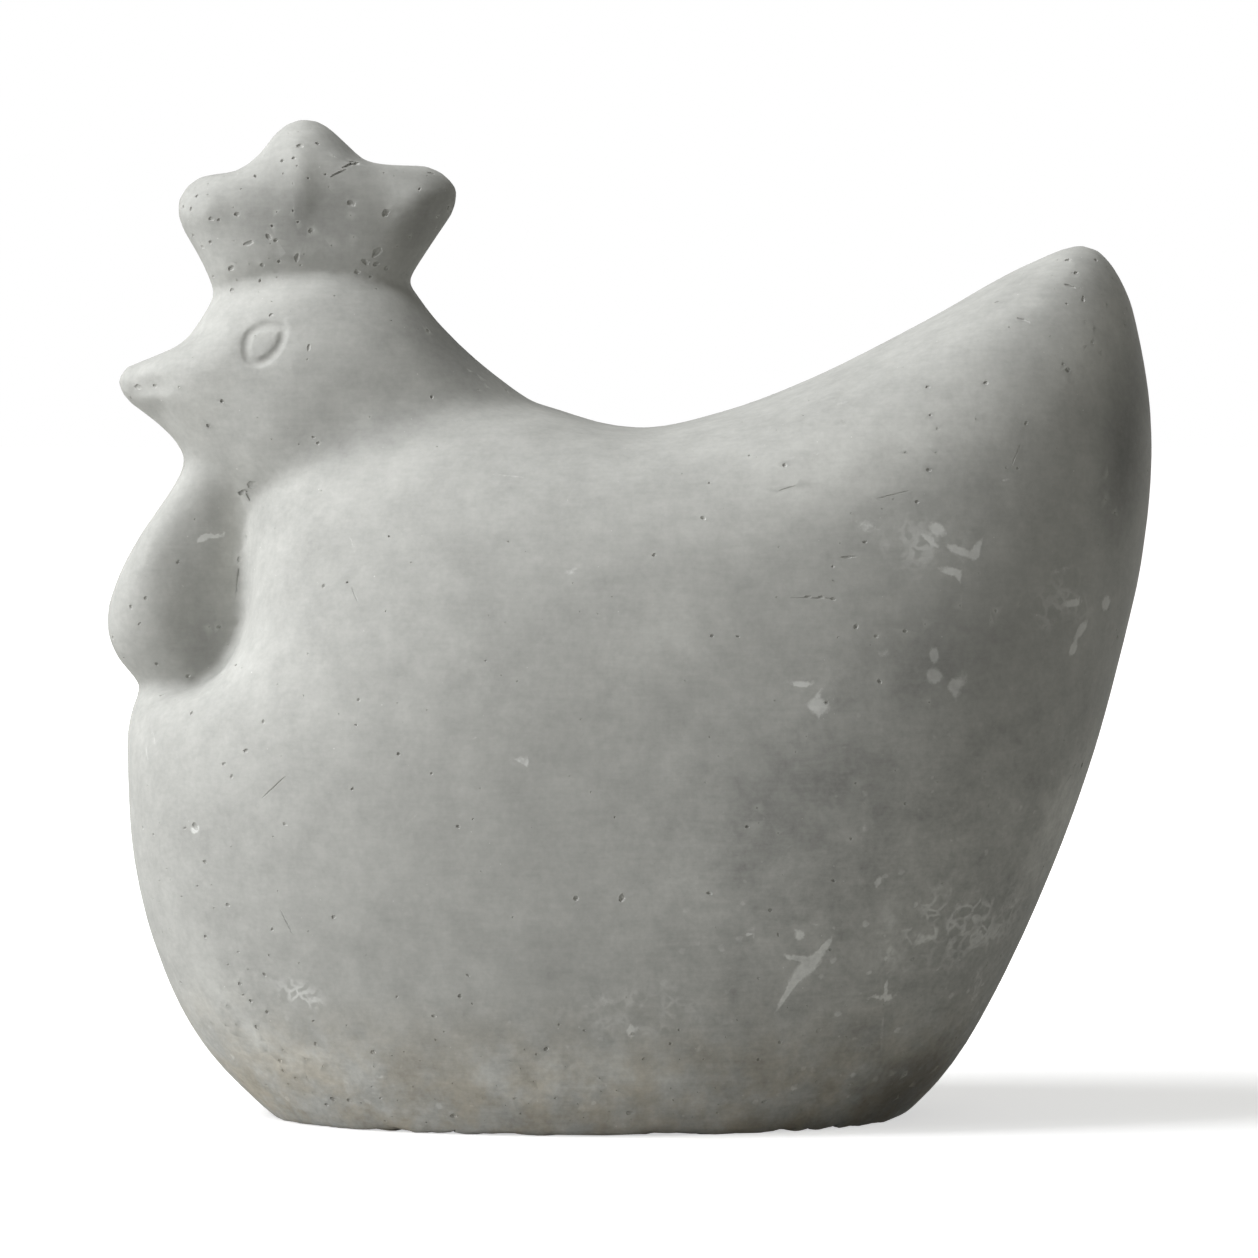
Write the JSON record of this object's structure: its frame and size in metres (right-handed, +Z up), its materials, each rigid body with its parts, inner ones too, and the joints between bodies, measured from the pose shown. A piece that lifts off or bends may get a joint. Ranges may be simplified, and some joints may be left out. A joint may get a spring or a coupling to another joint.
{
  "type": "hen figurine",
  "caption": "Solid cast-concrete hen figurine with a plump body, upswept tail, pointed comb, short beak, hanging wattle and engraved ring eyes, standing on a flat foot.",
  "frame": {"origin": "the centre of the bounding box's underside, on the flat foot", "axes": "+X runs from the head to the tail, the hen faces -X; +Y is across the mid-plane; +Z is up"},
  "size_m": [0.1882, 0.092, 0.1793],
  "materials": {
    "concrete": "matte cast concrete, lightly pored and mottled"
  },
  "bodies": {
    "root": {"hen": "concrete"}
  },
  "joints": []
}
